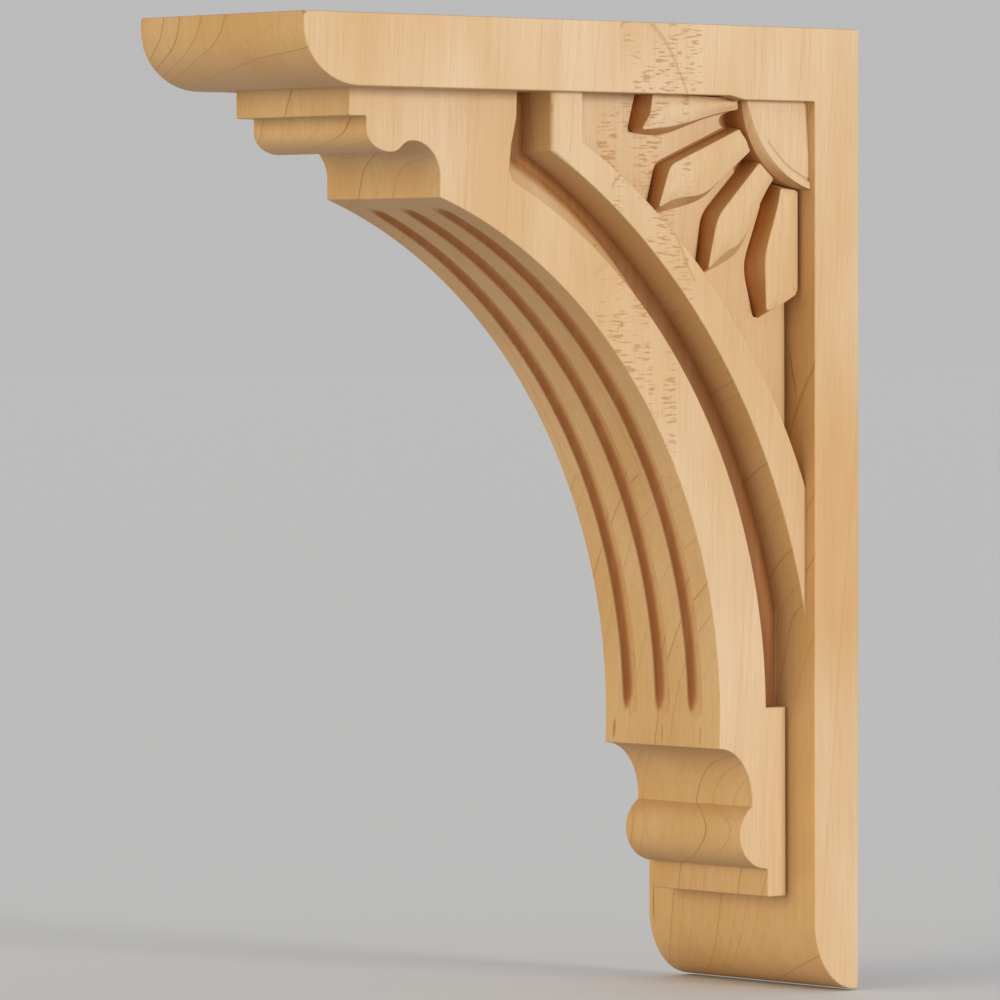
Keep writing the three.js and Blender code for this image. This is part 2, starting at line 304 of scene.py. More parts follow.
FILLET_SETBACK = 27.6
FILLET_HEIGHT = 8.5
BEAD_SETBACK = 6.8
BEAD_HEIGHT = 10.8
BEAD_RUN = 9.7
BEAD_RISE = 6.8
BEAD_BACK_RUN = 8.6
BEAD_BACK_RISE = 3.6
SCOTIA_RADIUS = 11.0
LIP_HEIGHT = 6.1
ARCH_FOOT_OUT = 30.0
COVE_RISE = 17.2
COVE_STEP = 1.4
ROUND_RUN = 12.0
ROUND_RISE = 11.0
ROUND_TOP_TURN = 56
BASE_RISE = 29.9
BASE_FILLET_HEIGHT = 8.9
BASE_FILLET_OUT = 9.1
ARCH_BOW = 34.9

# How many stretches the arch, the bead, its back, the cove and scotia, and the half-round have
ARCH_STEPS = 110
BEAD_STEPS = 14
BEAD_BACK_STEPS = 10
COVE_AND_SCOTIA_STEPS = 16
ROUND_STEPS = 22

fillet_front = PROJECTION - FILLET_SETBACK
fillet_under = SHELF_UNDER - FILLET_HEIGHT
bead_front = fillet_front - BEAD_SETBACK
bead_low = (bead_front - BEAD_RUN, fillet_under - BEAD_HEIGHT)
scotia_top = (bead_low[0] - BEAD_BACK_RUN, bead_low[1] + BEAD_BACK_RISE)
lip = (scotia_top[0] - SCOTIA_RADIUS, scotia_top[1] - SCOTIA_RADIUS)
arch_top = (lip[0], lip[1] - LIP_HEIGHT)
round_under = BOTTOM + BASE_RISE + BASE_FILLET_HEIGHT
round_centre = (PLATE + BASE_FILLET_OUT, round_under + ROUND_RISE)
round_outline = ellipse_arc(round_centre, ROUND_RUN, ROUND_RISE, -90, ROUND_TOP_TURN, ROUND_STEPS)
cove_back = round_outline[-1]
cove_low = cove_back[1] + COVE_STEP
arch_foot = (PLATE + ARCH_FOOT_OUT, cove_low + COVE_RISE)
arch_circle = bowed_circle(arch_top, arch_foot, ARCH_BOW)
arch_length = arch_circle[1] * (arch_circle[3] - arch_circle[2])


def body_outline():
    """The side of the arch with its mouldings."""
    bead_back = bezier(
        bead_low,
        (bead_low[0] - BEAD_BACK_RUN / 2, bead_low[1]),
        (scotia_top[0] + BEAD_BACK_RUN / 2, scotia_top[1]),
        scotia_top,
        BEAD_BACK_STEPS,
    )
    cove_run = arch_foot[0] - cove_back[0]
    bead_centre = (bead_front - BEAD_RUN, bead_low[1] + BEAD_RISE)
    lower = [
        (PLATE - OVERLAP, SHELF_UNDER + OVERLAP),
        (PLATE - OVERLAP, BOTTOM + BASE_RISE),
        (round_centre[0], BOTTOM + BASE_RISE),
        *round_outline,
        *ellipse_arc((arch_foot[0], cove_low), cove_run, COVE_RISE, 180, 90, COVE_AND_SCOTIA_STEPS),
    ]
    scotia_centre = (scotia_top[0], lip[1])
    upper = [
        *ellipse_arc(scotia_centre, SCOTIA_RADIUS, SCOTIA_RADIUS, 180, 90, COVE_AND_SCOTIA_STEPS),
        *bead_back[::-1][1:-1],
        *ellipse_arc(bead_centre, BEAD_RUN, BEAD_RISE, -90, 0, BEAD_STEPS),
        (bead_front, fillet_under),
        (fillet_front, fillet_under),
        (fillet_front, SHELF_UNDER + OVERLAP),
    ]
    arch = bowed_arc(arch_top, arch_foot, ARCH_BOW, ARCH_STEPS)[::-1]
    return eased(lower + arch[1:] + upper, CORNER)


FLUTE_COUNT = 3
FLUTE_WIDTH = 7.1
FLUTE_DEPTH = 3.1
FLUTE_TOP_GAP = 9.0
FLUTE_FOOT_GAP = 9.0
FLUTE_RUNOUT = 9.0
# The radius of a flute's round section
FLUTE_RADIUS = (FLUTE_WIDTH ** 2 / 4 + FLUTE_DEPTH ** 2) / (2 * FLUTE_DEPTH)
# The flat band between two flutes
flute_band = (2 * BODY_SIDE - FLUTE_COUNT * FLUTE_WIDTH) / (FLUTE_COUNT + 1)
flute_middles = [
    (flute + 1) * (flute_band + FLUTE_WIDTH) - FLUTE_WIDTH / 2 - BODY_SIDE for flute in range(FLUTE_COUNT)
]


def flute_depth(x, out, up):
    """How deep the flutes are cut at a point of the arch, measured square to the arch."""
    centre, radius, first, last = arch_circle
    away = Vector((out, up)) - centre
    if abs(away.length - radius) > EDGE:
        return 0.0
    angle = math.atan2(away.y, away.x) % math.tau
    along = (angle - first) * radius
    to_end = min(along - FLUTE_TOP_GAP, arch_length - FLUTE_FOOT_GAP - along)
    if to_end <= 0:
        return 0.0
    runout = max(0.0, 1 - to_end / FLUTE_RUNOUT)
    depth = FLUTE_DEPTH * (1 - runout * runout)
    nearest = min(abs(x - middle) for middle in flute_middles)
    if nearest >= FLUTE_RADIUS:
        return 0.0
    cut = math.sqrt(FLUTE_RADIUS ** 2 - nearest ** 2) - (FLUTE_RADIUS - depth)
    return max(0.0, cut)


def fluted(x, out, up):
    depth = flute_depth(x, out, up)
    if depth == 0.0:
        return (x, out, up)
    away = (Vector((out, up)) - arch_circle[0]).normalized() * depth
    return (x, out + away.x, up + away.y)


FLUTE_COLUMNS = 22
BAND_COLUMNS = 4


def body_columns():
    """Where the rings of the body stand across its width, close together in the flutes."""
    columns = []
    for middle in flute_middles:
        start = middle - FLUTE_WIDTH / 2 - flute_band
        for step in range(1, BAND_COLUMNS):
            columns.append(start + flute_band * step / BAND_COLUMNS)
        for step in range(FLUTE_COLUMNS + 1):
            angle = math.pi * (step / FLUTE_COLUMNS - 0.5)
            columns.append(middle + FLUTE_WIDTH / 2 * math.sin(angle))
    for step in range(1, BAND_COLUMNS):
        columns.append(BODY_SIDE - flute_band * (1 - step / BAND_COLUMNS))
    return columns


def make_body():
    outline = body_outline()
    right = [at_side(inset(outline, sink), BODY_SIDE - drop) for drop, sink in edge_rounding(EDGE)]
    middle = [[fluted(x, out, up) for out, up in outline] for x in body_columns()]
    return loft("corbel_body", across(right, middle))


# The groove between the arch band and the rib

GROOVE_BOW = 28.4
RIB_FRONT_BOW = 19.7
RIB_BACK_BOW = 12.1
GROOVE_DEPTH = 6.0
GROOVE_FOOT_OUT = 9.8
GROOVE_FOOT_RISE = 12.5
GROOVE_SLOPE = 8.5
GROOVE_SLOPE_SHARE = 0.42
GROOVE_STEPS = 72
RIB_STAND = 7.9
RIB_FRONT_FOOT_RISE = 40.8
RIB_BACK_FOOT_RISE = 82.0
RIB_ROLL = 1.8
RIB_ROLL_START = 60.0

groove_top = (135.6, 103.2)
groove_foot = (PLATE + GROOVE_FOOT_OUT, arch_foot[1] + GROOVE_FOOT_RISE)
rib_front_top = (126.5, 112.1)
rib_front_foot = (PLATE, arch_foot[1] + RIB_FRONT_FOOT_RISE)
rib_back_top = (113.9, 115.2)
rib_back_foot = (PLATE, arch_foot[1] + RIB_BACK_FOOT_RISE)
groove_circle = bowed_circle(groove_top, groove_foot, GROOVE_BOW)

# The groove's front edge from the shelf down to the arc: how far out past groove_top, the height,
# and the share of the slope that lifts the point at the groove's floor
GROOVE_MOUTH = (
    (-2.0, SHELF_UNDER + OVERLAP, 0.0),
    (-1.6, 122.5, 0.0),
    (0.5, 114.0, 0.4),
    (1.3, 106.3, 1.0),
)


def groove_outline(slope):
    """The groove at one depth, its front wall leaning back by slope at the top of the arch."""
    def lean(share):
        fall = min(1.0, share / GROOVE_SLOPE_SHARE)
        return slope * (1 - fall * fall)

    def under_rib(share):
        return OVERLAP

    rib_front = bowed_arc(rib_front_top, rib_front_foot, RIB_FRONT_BOW, GROOVE_STEPS, under_rib)
    return [
        *((groove_top[0] + past, up + slope * share) for past, up, share in GROOVE_MOUTH),
        *bowed_arc(groove_top, groove_foot, GROOVE_BOW, GROOVE_STEPS, lean),
        (PLATE - OVERLAP, groove_foot[1]),
        (PLATE - OVERLAP, rib_front_foot[1]),
        *rib_front[::-1],
        (rib_front_top[0] - OVERLAP, SHELF_UNDER + OVERLAP),
    ]


WALL_STEPS = 4


def make_groove(sign):
    mouth = groove_outline(0.0)
    rings = [at_side(inset(mouth, -EDGE), sign * (BODY_SIDE + OVERLAP))]
    for drop, sink in edge_rounding(EDGE):
        rings.append(at_side(inset(mouth, -drop), sign * (BODY_SIDE - sink)))
    wall_top = BODY_SIDE - EDGE
    wall_height = GROOVE_DEPTH - EDGE
    for step in range(1, WALL_STEPS + 1):
        share = step / WALL_STEPS
        x = sign * (wall_top - wall_height * share)
        rings.append(at_side(groove_outline(GROOVE_SLOPE * share), x))
    return loft("groove_cut", rings)


# The raised rib

def rib_outline():
    front = bowed_arc(rib_front_top, rib_front_foot, RIB_FRONT_BOW, GROOVE_STEPS)
    back = bowed_arc(rib_back_top, rib_back_foot, RIB_BACK_BOW, GROOVE_STEPS)
    return [
        (rib_front_top[0], SHELF_UNDER + OVERLAP),
        *front,
        (PLATE - OVERLAP, rib_front_foot[1]),
        (PLATE - OVERLAP, rib_back_foot[1]),
        *back[::-1],
        (rib_back_top[0], SHELF_UNDER + OVERLAP),
    ]


def rib_roll(point):
    """The rib's front edge is rolled over near the shelf, where the gouge came in."""
    out, up = point
    front = min(1.0, max(0.0, (out - rib_back_top[0]) / (rib_front_top[0] - rib_back_top[0])))
    high = min(1.0, max(0.0, (up - RIB_ROLL_START) / (SHELF_UNDER - RIB_ROLL_START)))
    return 1 + (RIB_ROLL / EDGE - 1) * front * high


def make_rib():
    outline = rib_outline()
    side = BODY_SIDE + RIB_STAND
    right = []
    for drop, sink in edge_rounding(EDGE):
        drawn_in = inset(outline, lambda point: sink * rib_roll(point))
        ring = []
        for (out, up), start in zip(drawn_in, outline):
            ring.append((side - drop * rib_roll(start), out, up))
        right.append(ring)
    return loft("rib", across(right))


# The quarter sun

SUN_DROP = 1.5
SUN_CENTRE = (PLATE, SHELF_UNDER - SUN_DROP)
# The radius at the shelf, and what is added to it per quarter turn and per quarter turn squared
SUN_WALL = (26.3, -2.4, 3.6)
SUN_CREST = (25.3, -7.4, 9.5)
NARROWEST_BEVEL = 0.3
# Distances from the middle of the corbel's width: the wall's top, and the face, which rises by
# SUN_TILT from the shelf to one radius below it
SUN_WALL_TOP = 33.0
SUN_FACE = 34.8
SUN_TILT = 2.0
SUN_STEPS = 40
# From the wall's top to the crest of the rim: the share of the way in, and of the way up
SUN_BEVEL = ((0.0, 0.0), (0.1, 0.12), (0.5, 0.55), (0.85, 0.92), (1.0, 1.0))
# The cut inside the rim: the distance in from the crest, and the share of its depth
SUN_CUT_DEPTH = 0.9
SUN_CUT = ((1.0, 0.0), (2.2, 0.1), (2.6, 1.0), (3.0, 1.0), (3.5, 0.55), (6.0, 0.35), (10.0, 0.0))
# It starts, and reaches its full depth, so many degrees round from the shelf
SUN_CUT_START = 18.0
SUN_CUT_END = 40.0


def sun_radius(sizes, angle):
    turn = angle / (math.pi / 2)
    return sizes[0] + sizes[1] * turn + sizes[2] * turn * turn


def sun_ring(radius_at, height_at):
    """A quarter circle round the sun, with its ends carried into the slab and the plate."""
    ring = []
    for step in range(-1, SUN_STEPS + 2):
        angle = math.pi / 2 * min(1.0, max(0.0, step / SUN_STEPS))
        out = SUN_CENTRE[0] + radius_at(angle) * math.cos(angle)
        up = SUN_CENTRE[1] - radius_at(angle) * math.sin(angle)
        if step < 0:
            up = SHELF_UNDER + OVERLAP
        if step > SUN_STEPS:
            out = SUN_CENTRE[0] - OVERLAP
        face = SUN_FACE + SUN_TILT * (SHELF_UNDER - up) / SUN_WALL[0]
        ring.append((height_at(angle, face), out, up))
    ring.append((height_at(0.0, SUN_FACE), SUN_CENTRE[0] - OVERLAP, SHELF_UNDER + OVERLAP))
    return ring


def make_sun(sign):
    def wall(angle):
        return sun_radius(SUN_WALL, angle)

    def crest(angle):
        return min(wall(angle) - NARROWEST_BEVEL, sun_radius(SUN_CREST, angle))

    def cut_share(angle):
        share = (math.degrees(angle) - SUN_CUT_START) / (SUN_CUT_END - SUN_CUT_START)
        return min(1.0, max(0.0, share))

    rings = [sun_ring(wall, lambda angle, face: 0.0)]
    for inward, upward in SUN_BEVEL:
        rings.append(sun_ring(
            lambda angle: wall(angle) + (crest(angle) - wall(angle)) * inward,
            lambda angle, face: SUN_WALL_TOP + (face - SUN_WALL_TOP) * upward,
        ))
    for inward, depth in SUN_CUT:
        rings.append(sun_ring(
            lambda angle: crest(angle) - inward,
            lambda angle, face: face - SUN_CUT_DEPTH * depth * cut_share(angle),
        ))
    return loft("sun", to_side(rings, sign))


# The petals. Each is drawn twice, corner by corner from the shelf side of its root and round its
# tip: the rim of its face, and its foot on the background. The lower side slopes out to its foot.
# Then come the rounding of each corner, the ridge's ends, how far the crown rises to the ridge, and
# how far (out, up) the knife's trench reaches beside the foot.

# Where the face's rim stands, from the middle of the corbel's width
PETAL_FACE = 33.3
PETALS = (
    {
        "rim": (
            (47.2, 129.8), (83.2, 130.8), (84.2, 124.3), (88.0, 119.3),
            (75.4, 120.2), (54.9, 125.1), (47.0, 126.3),
        ),
        "foot": (
            (44.4, 129.8), (84.0, 130.8), (86.0, 124.1), (87.4, 118.6),
            (75.0, 117.4), (54.7, 123.8), (44.4, 126.0),
        ),
        "round": (0.6, 1, 1, 1.8, 8, 5, 0.8),
        "ridge": ((50, 128.4), (80.0, 125.8)),
        "crown": 1.2,
        "trench": (1.1, 0.2),
    },
    {
        "rim": ((46.3, 120.3), (75.7, 108.6), (80.9, 95.0), (74.0, 98.2), (61.3, 99.3), (41.6, 113.4)),
        "foot": ((43.8, 121.2), (75.9, 108.6), (80.2, 93.2), (68.0, 95.2), (56.5, 98.2), (38.4, 112.6)),
        "round": (1, 2.5, 1.8, 5, 5, 1),
        "ridge": ((44.8, 117.0), (75.0, 101.6)),
        "crown": 0.9,
        "trench": (1.0, 0.8),
    },
    {
        "rim": (
            (37.7, 109.9), (55.8, 92.6), (60.0, 75.8), (53.0, 81.4),
            (45.6, 84.2), (34.7, 101.2), (31.6, 104.8),
        ),
        "foot": (
            (36.2, 111.6), (56.2, 93.0), (59.2, 74.0), (50.0, 77.2),
            (40.4, 82.0), (31.2, 99.6), (28.6, 106.0),
        ),
        "round": (1, 4, 1.8, 4, 5, 3, 1),
        "ridge": ((34.8, 106.0), (54.6, 84.6)),
        "crown": 0.9,
        "trench": (1.1, 0.6),
    },
    {
        "rim": (
            (28.6, 101.9), (29.8, 96.4), (35.6, 80.6), (34.9, 62.8),
            (28.2, 65.0), (20.6, 69.0), (20.6, 101.2),
        ),
        "foot": (
            (28.4, 103.6), (30.2, 97.0), (38.3, 77.2), (33.6, 60.4),
            (27.4, 63.6), (20.4, 68.4), (20.4, 103.2),
        ),
        "round": (0.8, 4, 5, 1.8, 4, 1.5, 0.8),
        "ridge": ((25.4, 98.0), (30.4, 70.0)),
        "crown": 0.7,
        "trench": (1.2, 0.2),
    },
)
# The lowest petal's edge beside the plate is chamfered, to keep the gouge off the plate
PLATE_CHAMFER = 2.6
PLATE_CHAMFER_DROP = 1.0
# The trenches: each depth, and the share of a petal's trench that is left there
TRENCH_RINGS = ((-0.3, 1.15), (0.0, 1.0), (1.4, 0.3))
# The cut beside the plate: its widths at the base and under the sun, each depth and the share of
# the width that is left there, where it starts inside the plate, and its top
PLATE_CUT_WIDTHS = (1.5, 2.2)
PLATE_CUT_RINGS = ((-OVERLAP, 1.0), (0.0, 1.0), (2.6, 0.25))
PLATE_CUT_START = PLATE - 1.0
PLATE_CUT_TOP = 103.0
# Where a gouge sank the background beside the sun: its middle and half-sizes as (x, out, up)
HOLLOWS = (
    ((45.0, 122.8), (2.4, 4.6, 2.8)),
    ((39.4, 109.0), (2.4, 4.0, 4.2)),
    ((29.6, 99.6), (2.2, 2.8, 5.0)),
)
HOLLOW_SEGMENTS = 32
CROWN_STEPS = 6
# How near the crown's rings come to the ridge, which keeps a narrow flat
CROWN_REACH = 0.94
PETAL_SIDE_STEPS = 6
PETAL_EDGE = 0.35


def nearest_on(segment, point):
    start, end = Vector(segment[0]), Vector(segment[1])
    along = end - start
    share = (Vector(point) - start).dot(along) / along.length_squared
    return tuple(start + along * min(1.0, max(0.0, share)))


def rounded_petal(corners, radii):
    """A petal's outline with round corners, as many points each time for the same radii."""
    points = []
    for index, here in enumerate(corners):
        corner = Vector(here)
        next_index = (index + 1) % len(corners)
        next_corner = Vector(corners[next_index])
        before = Vector(corners[index - 1]) - corner
        after = next_corner - corner
        cut_before = min(radii[index], LONGEST_CUT * before.length)
        cut_after = min(radii[index], LONGEST_CUT * after.length)
        start = corner + before.normalized() * cut_before
        end = corner + after.normalized() * cut_after
        for step in range(PETAL_SIDE_STEPS + 1):
            t = step / PETAL_SIDE_STEPS
            points.append(tuple(start * (1 - t) ** 2 + corner * 2 * t * (1 - t) + end * t * t))
        next_cut = min(radii[next_index], LONGEST_CUT * after.length)
        far = next_corner - after.normalized() * next_cut
        for step in range(1, PETAL_SIDE_STEPS):
            points.append(tuple(end.lerp(far, step / PETAL_SIDE_STEPS)))
    return points


def petal_rub(point):
    """How wide the petals' edges are rubbed at a point, and how far that takes them down."""
    if point[0] < PLATE + PLATE_CHAMFER:
        return PLATE_CHAMFER, PLATE_CHAMFER_DROP
    return PETAL_EDGE, PETAL_EDGE


def make_petal(shape, sign):
    rim = rounded_petal(shape["rim"], shape["round"])
    foot = rounded_petal(shape["foot"], shape["round"])
    rings = [at_side(foot, BODY_SIDE - OVERLAP), at_side(foot, BODY_SIDE)]
    for drop, sink in edge_rounding(1.0):
        ring = []
        for (out, up), start in zip(inset(rim, lambda point: sink * petal_rub(point)[0]), rim):
            ring.append((PETAL_FACE - drop * petal_rub(start)[1], out, up))
        rings.append(ring)
    edge = inset(rim, lambda point: petal_rub(point)[0])
    ridge = [nearest_on(shape["ridge"], point) for point in edge]
    for step in range(1, CROWN_STEPS + 1):
        share = CROWN_REACH * step / CROWN_STEPS
        ring = []
        for (out, up), (ridge_out, ridge_up) in zip(edge, ridge):
            ring.append((
                PETAL_FACE + shape["crown"] * math.sin(share * math.pi / 2),
                out + (ridge_out - out) * share,
                up + (ridge_up - up) * share,
            ))
        rings.append(ring)
    return loft("petal", to_side(rings, sign))


def make_trench(shape, sign):
    """The knife's cut along the foot of a petal's upper side."""
    foot = rounded_petal(shape["foot"], shape["round"])
    rings = []
    for depth, share in TRENCH_RINGS:
        shift_out, shift_up = (share * reach for reach in shape["trench"])
        x = sign * (BODY_SIDE - depth)
        rings.append([(x, out + shift_out, up + shift_up) for out, up in foot])
    return loft("trench_cut", rings)


def make_plate_cut(sign):
    """The narrow cut between the body's side and the plate.

    The rib, the petals and the sun fill it where they stand.
    """
    low = round_under - BASE_FILLET_HEIGHT
    rings = []
    for depth, share in PLATE_CUT_RINGS:
        base_width, top_width = (width * share for width in PLATE_CUT_WIDTHS)
        corners = (
            (PLATE_CUT_START, low),
            (PLATE + base_width, low),
            (PLATE + top_width, PLATE_CUT_TOP),
            (PLATE_CUT_START, PLATE_CUT_TOP),
        )
        rings.append(at_side(corners, sign * (BODY_SIDE - depth)))
    return loft("plate_cut", rings)


def make_hollow(middle, half_sizes, sign):
    out, up = middle
    bpy.ops.object.select_all(action="DESELECT")
    bpy.ops.mesh.primitive_uv_sphere_add(
        segments=HOLLOW_SEGMENTS,
        ring_count=HOLLOW_SEGMENTS // 2,
        radius=MM,
        location=Vector((sign * BODY_SIDE, -out, up)) * MM,
        scale=half_sizes,
    )
    hollow = bpy.context.object
    bpy.ops.object.transform_apply(location=True, rotation=True, scale=True)
    return hollow


def make_carving():
    carving = make_rib()
    for sign in (1, -1):
        combine(carving, make_sun(sign), "UNION")
        for shape in PETALS:
            combine(carving, make_petal(shape, sign), "UNION")
    return carving


def make_corbel():
    corbel = make_body()
    for sign in (1, -1):
        combine(corbel, make_groove(sign), "DIFFERENCE")
        combine(corbel, make_plate_cut(sign), "DIFFERENCE")
        for shape in PETALS:
            combine(corbel, make_trench(shape, sign), "DIFFERENCE")
        for middle, half_sizes in HOLLOWS:
            combine(corbel, make_hollow(middle, half_sizes, sign), "DIFFERENCE")
    combine(corbel, make_carving(), "UNION")
    combine(corbel, slab("slab_and_plate", frame_outline(), HALF_WIDTH), "UNION")
    corbel.name = "carved_corbel"
    corbel.data.name = "carved_corbel"
    return corbel


SMOOTH_ANGLE = 32


def finish_surface(piece):
    select_only(piece)
    bpy.ops.object.shade_smooth_by_angle(angle=math.radians(SMOOTH_ANGLE))
    weighted = piece.modifiers.new("flat faces stay flat", "WEIGHTED_NORMAL")
    weighted.keep_sharp = True
    bpy.ops.object.modifier_apply(modifier=weighted.name)


# Materials

def linear(hex_colour):
    """An sRGB colour written as six hex digits, as the linear colour that a shader takes."""
    channels = []
    for start in (0, 2, 4):
        value = int(hex_colour[start:start + 2], 16) / 255
        channels.append(value / 12.92 if value <= 0.04045 else ((value + 0.055) / 1.055) ** 2.4)
    return (*channels, 1.0)


def add_node(tree, name, kind, settings, inputs):
    """Adds a node with its settings and links.

    inputs go by socket, or in the sockets' order. Each is a value, or the name of the node that it
    comes from, followed by a colon and the output where that isn't the first one.
    """
    node = tree.nodes.new(kind)
    node.name = name
    for setting, value in settings.items():
        setattr(node, setting, value)
    if not isinstance(inputs, dict):
        inputs = dict(enumerate(inputs))
    for socket, value in inputs.items():
        if isinstance(value, str):
            source, output = value.partition(":")[::2]
            if not output or output.isdigit():
                output = int(output or 0)
            tree.links.new(tree.nodes[source].outputs[output], node.inputs[socket])
        else:
            node.inputs[socket].default_value = value


MATHS = "ShaderNodeMath"
VECTORS = "ShaderNodeVectorMath"
SLOPE = "ShaderNodeMapRange"
STRETCH = "ShaderNodeMapping"
SMOOTH = {"interpolation_type": "SMOOTHSTEP"}
TO_ELLIPSOID = {"vector_type": "TEXTURE"}
PRODUCT = {"operation": "MULTIPLY"}
PRODUCT_AND_SUM = {"operation": "MULTIPLY_ADD"}
DIFFERENCE = {"operation": "SUBTRACT"}
LARGER = {"operation": "MAXIMUM"}
SMALLER = {"operation": "MINIMUM"}
LENGTH = {"operation": "LENGTH"}
NO_SIGN = {"operation": "ABSOLUTE"}

# The staves, each from its distance out from the wall: where its tree's pith lay, as (x, y), and
# how pale its wood is beside the others
STAVES = (
    (0.0, (54.0, 69.0), 0.0),
    (67.0, (150.0, -90.0), 0.35),
    (102.0, (-90.0, 20.0), 0.55),
    (127.0, (42.0, -40.0), 0.1),
)
FLECKED_STAVE = (67.0, 102.0)
GLUE_BLUR = 1.5

# Growth rings, in millimetres. They lean with the height, and wobble. Their width wanders by
# RING_UNEVENNESS rings over every SLOW_RINGS rings.
RING_WIDTH = 2.8
RING_LEAN = 0.09
WOBBLE_REACH = 4.5
SLOW_RINGS = 2.3
RING_UNEVENNESS = 0.8

# One cell of each pattern of the grain, in millimetres across, out and up, and its detail. The real
# fibres are finer than the render can show, so they are drawn about ten times as coarse.
PATTERNS = (
    ("wobble", (50, 50, 190), 2),
    ("fibres", (0.5, 0.5, 22), 3),
    ("streaks", (2.6, 2.6, 90), 2),
    ("clouds", (38, 38, 95), 2),
    ("flecks", (3.2, 5.2, 0.75), 1),
    ("fleck_patches", (9, 9, 20), 2),
    ("torn_fibres", (0.7, 0.7, 1.6), 4),
)

# Dark mineral streaks and small flaws: the middle and half-sizes in millimetres as (x, y, z), and
# the lean in degrees
FLAWS = (
    ((-22.7, -49.5, -70.2), (0.9, 3.0, 4.6), 5),
    ((0.0, -49.5, -70.8), (0.3, 3.0, 4.4), 0),
    ((17.8, -49.5, -70.8), (0.3, 3.0, 4.4), 0),
    ((-36.7, -19.2, -128.5), (0.5, 3.0, 9.0), 0),
    ((-25.5, -152.0, 103.0), (0.8, 4.0, 6.5), 0),
    ((-6.3, -152.0, 103.0), (0.3, 4.0, 5.0), 0),
    ((4.6, -152.0, 103.0), (0.3, 4.0, 5.0), 0),
    ((28.6, -19.2, 44.2), (0.4, 2.0, 11.0), -12.4),
    ((39.0, -228.6, 152.0), (1.4, 1.4, 1.0), 0),
)
FAR_FROM_FLAWS = 10.0

# A broad warmer stretch of the plate's right side, as its middle and half-sizes
WARM_STRETCH = ((39.0, -8.0, -8.0), (14.0, 17.0, 72.0))

# The corner behind the rib lies above a line that rises this much for each millimetre out
CORNER_LINE_RISE = 1.067

# Slopes, each from one value to another: the value that it follows, where on that value it starts
# and ends, and what it gives at its start and end. "season" runs from 0 to 1 through a year's ring.
# "faces_X" is 1 on a face that looks straight to the side. "side_depth" is in millimetres below the
# side of the body, and "behind_arch" and "behind_edge" behind the arch and the groove's front edge.
RING_SLOPES = (
    ("line_rises", "season", (0.89, 0.945), (0, 1)),
    ("line_falls", "season", (0.955, 1), (1, 0)),
    ("late_wood", "season", (0.2, 0.95), (0, 1)),
    ("strong_years", "year_tone", (0.25, 0.95), (0.1, 1)),
    ("on_sides", "faces_X", (0.4, 0.9), (1, 0.5)),
)
FLECK_SLOPES = (
    ("after_glue", "out", (FLECKED_STAVE[0], FLECKED_STAVE[0] + GLUE_BLUR), (0, 0.62)),
    ("before_glue", "out", (FLECKED_STAVE[1] - GLUE_BLUR, FLECKED_STAVE[1]), (1, 0)),
    ("quarter_sawn", "faces_X", (0.5, 0.9), (0, 1)),
    ("fleck_dashes", "flecks", (0.55, 0.62), (0, 1)),
    ("fleck_groups", "fleck_patches", (0.38, 0.56), (0, 1)),
)
CARVED_SLOPES = (
    ("off_plate", "out", (PLATE, PLATE + 0.8), (0, 1)),
    ("before_top", "out", (groove_top[0] + 2, groove_top[0] + 4), (1, 0)),
    ("above_foot", "axes:Z", (groove_foot[1] - 2, groove_foot[1]), (0, 1)),
    ("under_shelf", "axes:Z", (SHELF_UNDER, SHELF_UNDER + 1), (1, 0)),
    ("past_band", "behind_arch", (7, 9), (0, 1)),
    ("is_wall", "faces_X", (0.35, 0.6), (1, 0)),
)
# The groove's slopes: painted shade with the cutter's burn deeper in it and on its walls, and the painted
# shadow beside its front edge
GROOVE_SLOPES = (
    ("groove_depths", "side_depth", (2.6, 5.7), (0, 1)),
    ("wall_depths", "side_depth", (0, GROOVE_DEPTH), (0, 0.3)),
    ("near_edge", "from_edge", (5.5, 9.5), (1, 0)),
)
# The corner's slopes: painted shade with the cutter's burn at the walls' feet and in the gouge's hollows
CORNER_SLOPES = (
    ("in_corner", "corner_line", (7, 11), (0, 1)),
    ("foot_depths", "side_depth", (-7, 0), (0.5, 1)),
    ("hollow_shade", "side_depth", (0.3, 1.2), (0, 0.95)),
)
# The flutes' slopes: painted shade with the cutter's burn in the flutes, most on their steep sides
FLUTE_SLOPES = (
    ("flute_starts", "behind_arch", (0.1, 0.7), (0, 1)),
    ("flute_ends", "behind_arch", (3.2, 3.6), (1, 0)),
    ("in_width", "side_depth", (1.5, 2.5), (0, 1)),
    ("above_cove", "axes:Z", (arch_foot[1] + 3, arch_foot[1] + 8), (0, 1)),
    ("below_lip", "axes:Z", (arch_top[1] - 4, arch_top[1] - 1), (1, 0)),
    ("steep_sides", "faces_X", (0.3, 0.72), (0.1, 1)),
)
COLOUR_SLOPES = (
    ("warmth", "less_pale", (0.1, 0.8), (0, 1)),
    ("fibre_shade", "fibres", (0.4, 0.85), (0, 0.32)),
    ("streak_shade", "streaks", (0.4, 0.8), (0, 0.14)),
    # How much of the cutter's burn and its painted shade shows, along the streaks
    ("burnish_streaks", "streaks", (0.2, 0.6), (0.75, 0.93)),
    # Where the painted shade on the faces to the front lies
    ("front_share", "faces_Y", (0.2, 1), (0, 1)),
    ("end_share", "faces_Z", (0.3, 1), (0, 0.6)),
)
FLAW_SLOPE = (0.4, 1, 0.6, 0)
WARM_SLOPE = (0.35, 1, 0.5, 0)

MAPLE_PALE = "DCBF9A"
MAPLE_WARM = "D0AA78"
RING_BROWN = "A8763F"
FIBRE_SHADE = "B98D5C"
FLECK_BROWN = "AE7836"
